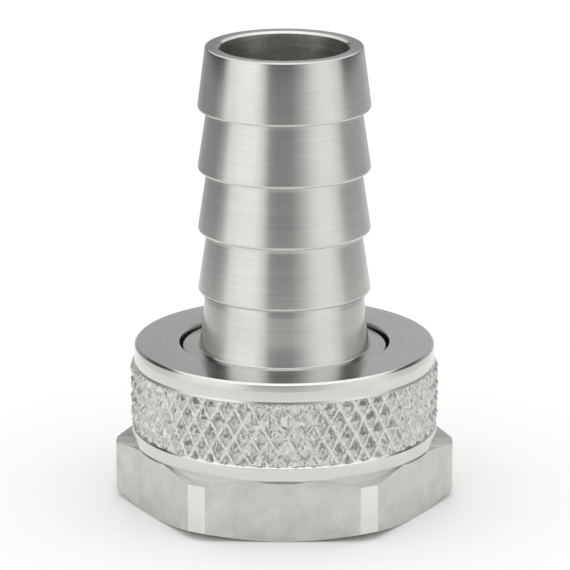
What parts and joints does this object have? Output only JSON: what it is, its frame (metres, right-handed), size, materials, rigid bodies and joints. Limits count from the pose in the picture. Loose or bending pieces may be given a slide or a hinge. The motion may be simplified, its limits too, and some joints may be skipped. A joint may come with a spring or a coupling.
{
  "type": "garden hose swivel coupling",
  "caption": "Stainless swivel coupling: barbed hose stem turning in a knurled hexagon nut with an internal hose thread and a sealing washer.",
  "frame": {"origin": "centre of the nut's open face, which the coupling stands on", "axes": "+Z along the coupling's axis from the nut's open face to the hose end; -Y is the outward normal of one hexagon flat; +X points at a hexagon corner"},
  "size_m": [0.039, 0.0356, 0.0534],
  "materials": {
    "nut_steel": "machined, knurled grip, satin flats",
    "stem_steel": "fine turned",
    "spring_steel": "drawn wire",
    "washer_rubber": "matte"
  },
  "bodies": {
    "nut": {"swivel_nut": "nut_steel", "sealing_washer": "washer_rubber"},
    "ring": {"retaining_ring": "spring_steel"},
    "stem": {"hose_stem": "stem_steel"}
  },
  "joints": [
    {"name": "stem_float", "type": "slide", "parent": "nut", "child": "ring", "axis": [0, 0, 1], "range_m": [0, 0.00065]},
    {"name": "stem_swivel", "type": "hinge", "parent": "ring", "child": "stem", "pos_m": [0, 0, 0], "axis": [0, 0, 1], "continuous": true}
  ]
}
